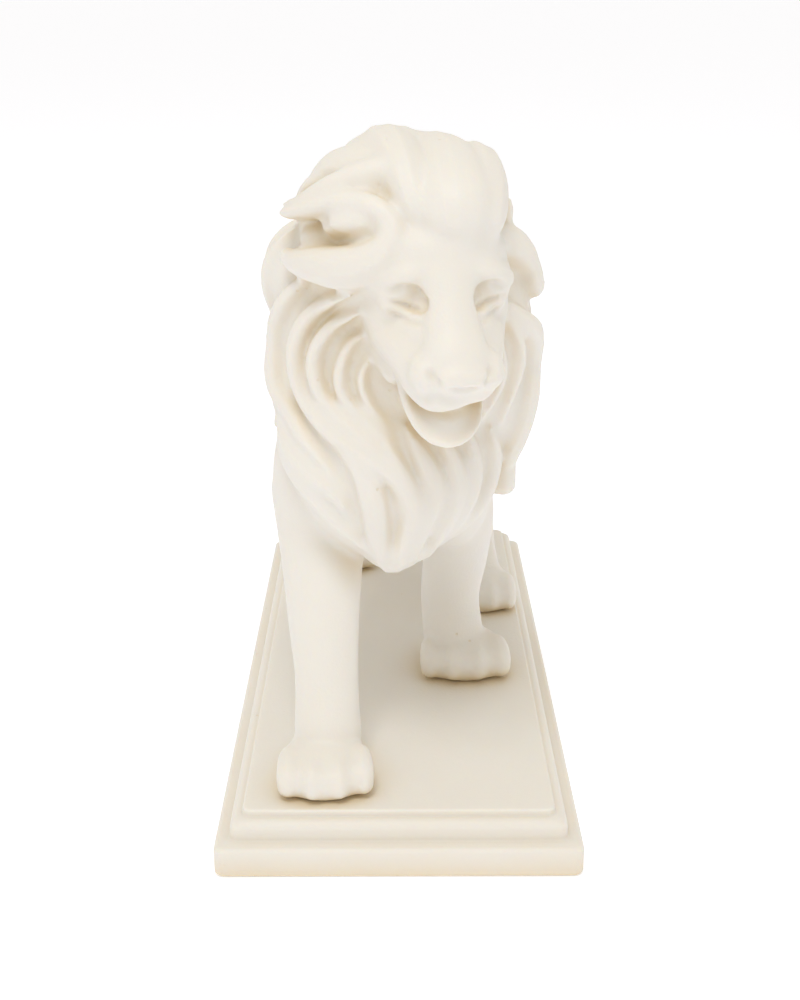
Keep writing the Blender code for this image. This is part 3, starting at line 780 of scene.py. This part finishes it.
CHEEK_LOCKS = (
    (3.2, 3.2, 14, [(-46, 120), (-66, 112), (-79, 102), (-78, 91), (-60, 84), (-40, 77), (-28, 70)]),
    (
        2.6,
        3.4,
        18,
        [(-18, 118), (-34, 115), (-50, 109), (-58, 100), (-56, 91), (-40, 85), (-18, 79.5)]
        + [(-4, 75), (3, 68), (3, 60), (-3, 53)],
    ),
    (
        2.3,
        3.2,
        18,
        [(-14, 115), (-32, 110), (-45, 102), (-45, 94), (-36, 88), (-21, 84), (-9, 79), (-2, 73)]
        + [(-3, 66)],
    ),
    (1.9, 2.8, 14, [(-12, 110), (-27, 104), (-32, 96), (-26, 90), (-13, 85), (-4, 80), (2, 75)]),
    (1.5, 2.4, 8, [(-12, 104), (-20, 98), (-16, 91), (-8, 86), (0, 81)]),
)
CHEST_LOCKS = (
    (3.4, 3.0, 10, [(-88, 90), (-66, 80), (-48, 74), (-34, 70), (-26, 62)]),
    (3.0, 2.8, 10, [(-84, 81), (-62, 74), (-47, 69), (-36, 63), (-24, 57), (-12, 52)]),
    (3.4, 3.0, 6, [(-34, 82), (-20, 77), (-14, 69), (-13, 60), (-9, 52), (-4, 46)]),
    (3.0, 3.0, 0, [(-8, 84), (0, 76), (8, 68), (6, 60), (-1, 52), (-3, 44)]),
    (3.0, 2.8, -4, [(4, 86), (14, 78), (20, 71), (16, 63), (10, 55), (6, 46)]),
    (2.8, 2.6, -4, [(20, 86), (31, 77), (34, 70), (30, 62), (24, 54), (17, 48)]),
    (2.6, 2.6, -8, [(38, 86), (44, 77), (44, 69), (40, 61), (34, 54)]),
    (3.0, 2.6, -8, [(58, 84), (64, 74), (58, 66), (48, 60), (42, 54)]),
)
LEFT_LOCKS = (
    (1.7, 2.4, -12, [(40, 113), (50, 105), (55, 97), (53, 89), (50, 82)]),
    (1.9, 2.6, -14, [(42, 117), (58, 108), (66, 99), (64, 89), (62, 80)]),
    (
        3.4,
        3.4,
        -16,
        [(48, 115), (64, 108.5), (78, 103), (83, 96), (79, 87), (76, 79), (79, 72.5), (80, 67.2)],
    ),
)


def locks(clay, mane):
    for width, depth, tilt, places in CHEEK_LOCKS + CHEST_LOCKS:
        mane.lock(clay, places, width, depth, lift=0.55, tilt=tilt)
    for width, depth, tilt, places in LEFT_LOCKS:
        blunt = width > 3
        tip, settle = (0.95, -1.3) if blunt else (0.3, 0.8)
        mane.lock(clay, places, width, depth, lift=0.6, tilt=tilt, tip=tip, settle=settle)
    # Behind the cheek locks, from the temple down over the point of the shoulder.
    mane.fan(
        clay,
        [(-118, 130), (-122, 114), (-116, 98), (-110, 86), (-112, 76)],
        [(-80, 126), (-92, 114), (-94, 101), (-88, 90), (-78, 82)],
        4,
        4.0,
        3.2,
        lift=0.2,
    )
    mane.lock(
        clay,
        [(36, 126.5), (54, 125.5), (70, 122), (80, 117.5), (83, 113.5)],
        4.7,
        4,
        lift=0.7,
        tip=0.85,
        settle=0,
        rise=(0.9, 1, 1.4, 1.2, 0.9),
    )
    # Swept up from the parting, back over the ear.
    for depth, lift, rise, places in (
        (
            3.4,
            0.55,
            (1, 1, 1, 1.1, 1.6, 2.4),
            [(14, 130), (12, 136.5), (0, 140), (-16, 139.6), (-33, 136.8), (-50, 133.4), (-70, 131)],
        ),
        (
            2.4,
            0.4,
            (0.2, 0.2, 0.4, 1.2, 2.6, 2.8),
            [(6, 141), (-16, 144), (-36, 142.4), (-52, 139), (-70, 134), (-84, 128)],
        ),
    ):
        mane.lock(clay, places, 3.6, depth, lift=lift, tilt=8, root=0.8, settle=0, rise=rise)
    mane.fan(
        clay,
        [(-3, -64), (-11, -56), (-17, -45), (-20, -32)],
        [(14, -54), (18, -42), (20, -31), (21, -20)],
        6,
        5,
        3,
        place=mane.above,
        lift=0.25,
    )
    # The lock that rounds the ear like a ram's horn.
    mane.lock(
        clay,
        [
            (-66, 129.6),
            (-44, 132.2),
            (-26, 134.4),
            (-12, 134.4),
            (-3, 131.6),
            (-3.5, 127.5),
            (-11, 124),
            (-22, 122.6),
            (-38, 122.4),
            (-66, 121),
        ],
        4.4,
        3.6,
        lift=0.7,
        widths=[1.0, 1.9, 2.3, 2.4, 2.6, 3.3, 4.2, 4.4, 3.6, 2.0],
        strands=1.5,
        settle=0,
        rise=(2.1, 1.3, 1, 1, 1, 1, 1.1, 1.5),
    )
    # Tiers of locks over the crest of the neck and the withers.
    for tier, (top, fall, start, end, count) in enumerate(
        ((138, 30, 98, 262, 9), (122, 32, 92, 250, 10), (104, 38, 84, 244, 10))
    ):
        for k in range(count):
            azimuth = start + (end - start) * (k + 0.5 * (tier % 2)) / count
            middle = math.exp(-(((azimuth - 178) / 30) ** 2))
            if tier == 2 and middle > 0.4:
                continue
            bend = 8 if azimuth < 180 else -8
            drop = fall * (1 - 0.35 * middle) * (1 + 0.1 * math.cos(2.3 * k))
            mane.lock(
                clay,
                [
                    (azimuth - bend, top),
                    (azimuth + bend * 0.3, top - drop * 0.3),
                    (azimuth + bend * 0.1, top - drop * 0.55),
                    (azimuth - bend * 0.5, top - drop * 0.8),
                    (azimuth + bend * 0.2, top - drop),
                ],
                4.4,
                3.4,
            )


def swell(mesh, height):
    """Moves a skin outwards, so that it fills the bottoms of the cracks between locks."""
    for vertex, normal in [(v, v.normal.copy()) for v in mesh.vertices]:
        vertex.co += normal * height


def ease_creases(mesh, rounds):
    """Softens the bottoms of the cracks, where a fused skin comes out ragged, and then
    evens the whole skin without shrinking it."""
    ends = np.empty(len(mesh.edges) * 2, np.int32)
    mesh.edges.foreach_get("vertices", ends)
    a, b = ends.reshape(-1, 2).T
    count = len(mesh.vertices)
    degree = np.bincount(ends, minlength=count)
    spots = np.empty(count * 3)
    normals = np.empty(count * 3)
    mesh.vertices.foreach_get("co", spots)
    mesh.vertices.foreach_get("normal", normals)
    spots = spots.reshape(-1, 3)
    normals = normals.reshape(-1, 3)

    def around(values):
        summed = np.bincount(a, values[b], count) + np.bincount(b, values[a], count)
        return summed / degree

    def pull():
        return np.stack([around(axis) for axis in spots.T], axis=1) - spots

    hollow = (pull() * normals).sum(axis=1)
    share = np.clip(hollow / 0.03, 0, 1)
    for _ in range(4):
        share = np.clip(around(share) * 1.6, 0, 1)
    for _ in range(rounds):
        spots += 0.6 * share[:, None] * pull()
    for step in (0.5, -0.52) * 4:
        spots += step * pull()
    mesh.vertices.foreach_set("co", spots.ravel())
    mesh.update()


def dent(mesh, centre, reach, depth):
    """Presses a soft hollow into a mesh, towards the neck."""
    centre = Vector(centre)
    inward = (Vector((0, NECK_AXIS_Y, centre.z)) - centre).normalized()
    for vertex in mesh.vertices:
        near = (vertex.co - centre).length / reach
        vertex.co += inward * depth * math.exp(-(near**4))


EYE_STROKES = (
    (1, 1.5, [(5.6, 4), (5.5, 2.4), (5.9, 0.5)]),
    (0.9, 0.9, [(5.3, 3.4), (7, 5.2), (9.6, 5.7), (12.8, 4.3)]),
    (1, 0.8, [(5.7, 0.9), (7.6, 1.4), (10.2, 2.1), (13.6, 2.7)]),
    (0.6, 0.75, [(5.8, -1.1), (8, -1.3), (10.4, -0.7), (12.8, 0.7)]),
)
NOSE_STROKES = (
    (1, 1.1, [(6.3, -8.2), (6.2, -10), (5.4, -11.4), (4.1, -12.3)]),
)


def engrave(mesh, strokes):
    """Cuts strokes into the front of the turned head, or raises them where the depth is
    below nothing. A stroke's places are x and z on the head."""
    turned = Matrix.Translation(HEAD_AT) @ Matrix.Rotation(math.radians(HEAD_TURN), 4, "Z")
    tree = BVHTree.FromPolygons(
        [v.co[:] for v in mesh.vertices], [p.vertices[:] for p in mesh.polygons]
    )
    spots = np.empty(len(mesh.vertices) * 3, np.float32)
    mesh.vertices.foreach_get("co", spots)
    spots = spots.reshape(-1, 3)
    inward = turned.to_3x3() @ Vector((0, 1, 0))
    for depth, reach, places in strokes:
        line = []
        for x, z in smooth_curve(places, 8 * len(places)):
            hit = tree.ray_cast(turned @ Vector((x, -60, z)), inward)
            if hit[0] is not None and hit[3] < 62:
                line.append(hit[0][:] + hit[1][:])
        line = np.array(line)
        low = line[:, :3].min(axis=0) - 3 * reach
        high = line[:, :3].max(axis=0) + 3 * reach
        near = np.nonzero(((spots > low) & (spots < high)).all(axis=1))[0]
        gaps = np.linalg.norm(spots[near, None] - line[None, :, :3], axis=2)
        closest = gaps.argmin(axis=1)
        ends = np.minimum(closest, len(line) - 1 - closest) / len(line)
        fade = np.clip(0.1 + ends * 4, 0, 1)
        push = depth * fade * np.exp(-((gaps.min(axis=1) / reach) ** 2))
        spots[near] -= line[closest, 3:] * push[:, None]
    mesh.vertices.foreach_set("co", spots.ravel())
    mesh.update()


def mirrored(strokes):
    return [(d, r, [(s * x, z) for x, z in places]) for d, r, places in strokes for s in (-1, 1)]


def build_figure():
    body = trunk().fuse(BODY_GRAIN, BODY_ROUNDS)
    mass = mane_mass()
    skull = Clay()
    head(skull)
    skull = skull.fuse(SKULL_GRAIN, SKULL_ROUNDS)
    ground = Clay()
    ground.add(body)
    ground.add(mass)
    ground = ground.fuse(BODY_GRAIN, 6)
    dent(mass, (-16, -66, 128), 8, 3.6)
    swell(mass, BED)
    clay = Clay()
    for part in (body, mass, skull):
        clay.add(part)
    tail(clay)
    for x, y, width, turn in PAWS:
        paw(clay, x, y, width, turn)
    forelock(clay)
    locks(clay, Mane(ground))
    ears(clay, Mane(ground))
    figure = rest_flat(clay.fuse(SKIN_GRAIN, 2))
    ease_creases(figure, 18)
    engrave(figure, mirrored(EYE_STROKES) + mirrored(NOSE_STROKES))
    engrave(figure, [(1, 0.9, [(-3.8, -12.7), (0, -13.1), (3.8, -12.7)])])
    return lighten(figure, FACE_COUNT)


def islands(bm):
    """The connected skins of a mesh, each as a set of vertices."""
    left = set(bm.verts)
    found = []
    while left:
        stack = [left.pop()]
        skin = set(stack)
        while stack:
            for edge in stack.pop().link_edges:
                for vertex in edge.verts:
                    if vertex not in skin:
                        skin.add(vertex)
                        stack.append(vertex)
        left -= skin
        found.append(skin)
    return found


def rest_flat(figure):
    """Keeps the one outer skin and flattens the soles on one plane."""
    bm = bmesh.new()
    bm.from_mesh(figure)
    skins = sorted(islands(bm), key=len)
    for skin in skins[:-1]:
        bmesh.ops.delete(bm, geom=list(skin), context="VERTS")
    for vertex in bm.verts:
        vertex.co.z = max(vertex.co.z - SOLE, 0)
    bm.to_mesh(figure)
    bm.free()
    return figure


def lighten(mesh, faces):
    """Thins a mesh to about a number of triangles, most where it bends most."""
    holder = bpy.data.objects.new("clay", mesh)
    bpy.context.collection.objects.link(holder)
    triangles = sum(len(p.vertices) - 2 for p in mesh.polygons)
    thin = holder.modifiers.new("thin", "DECIMATE")
    thin.ratio = faces / triangles
    thin.use_collapse_triangulate = True
    graph = bpy.context.evaluated_depsgraph_get()
    made = bpy.data.meshes.new_from_object(holder.evaluated_get(graph))
    bpy.data.objects.remove(holder)
    return made


figure = build_figure()
lion_low, lion_high = (Vector(corner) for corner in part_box("lion"))
tall = max(vertex.co.z for vertex in figure.vertices)
figure.transform(
    Matrix.Translation((0, 0, lion_low.z)) @ Matrix.Scale((lion_high.z - lion_low.z) / tall, 4)
)
figure.shade_smooth()
place_piece(figure, "lion_carved", "lion")


# The floor: a wide plain sheet of white paper, which fills the whole view. Its own faint
# light keeps it as even and as white as the background of a catalogue picture.

FLOOR_TONE = (0.91, 0.93, 0.99, 1.0)
FLOOR_GLOW = 0.3
FLOOR_REACH = 20.0

paper = Finish("white_paper")
paper.fill(paper.shader, {"Base Color": FLOOR_TONE, "Roughness": 0.9})
paper.fill(paper.shader, {"Emission Color": FLOOR_TONE, "Emission Strength": FLOOR_GLOW})
bm = bmesh.new()
bmesh.ops.create_grid(bm, size=FLOOR_REACH, matrix=Matrix.Translation((0, 0, -0.00002)))
floor_mesh = bpy.data.meshes.new("paper_floor")
bm.to_mesh(floor_mesh)
bm.free()
floor_mesh.materials.append(paper.material)
floor = bpy.data.objects.new("paper_floor", floor_mesh)
bpy.context.collection.objects.link(floor)


# The light: one wide soft box high in front and a little to the left, with warm pale
# walls all round that fill the shadows.

LAMP_TONE = (0.96, 0.98, 1.0)
ROOM_TONE = (1.0, 0.96, 0.885, 1.0)
ROOM_STRENGTH = 0.77


def soft_box(name, place, aim, size, watts):
    light = bpy.data.lights.new(name, "AREA")
    light.shape = "SQUARE"
    light.size = size
    light.energy = watts
    light.color = LAMP_TONE
    holder = bpy.data.objects.new(name, light)
    holder.location = place
    holder.rotation_euler = (Vector(aim) - Vector(place)).to_track_quat("-Z", "Y").to_euler()
    bpy.context.collection.objects.link(holder)


soft_box("key", (-0.12, -0.55, 1.2), (0, 0, 0.08), 0.4, 5.0)
world = bpy.data.worlds.new("room")
world.use_nodes = True
world.node_tree.nodes["Background"].inputs["Color"].default_value = ROOM_TONE
world.node_tree.nodes["Background"].inputs["Strength"].default_value = ROOM_STRENGTH
bpy.context.scene.world = world
bpy.context.scene.view_settings.view_transform = "Standard"


# The camera stands close in front and a little above, as in the photograph.

CAMERA_PLACE = (-0.00103, -0.36056, 0.19361)
CAMERA_DIP = 20.669
CAMERA_SWING = -0.269

lens = bpy.data.cameras.new("camera")
lens.lens = 50
lens.sensor_width = 36
lens.clip_start = 0.01
camera = bpy.data.objects.new("camera", lens)
camera.location = CAMERA_PLACE
camera.rotation_euler = (math.radians(90 - CAMERA_DIP), 0, math.radians(CAMERA_SWING))
bpy.context.collection.objects.link(camera)
bpy.context.scene.camera = camera
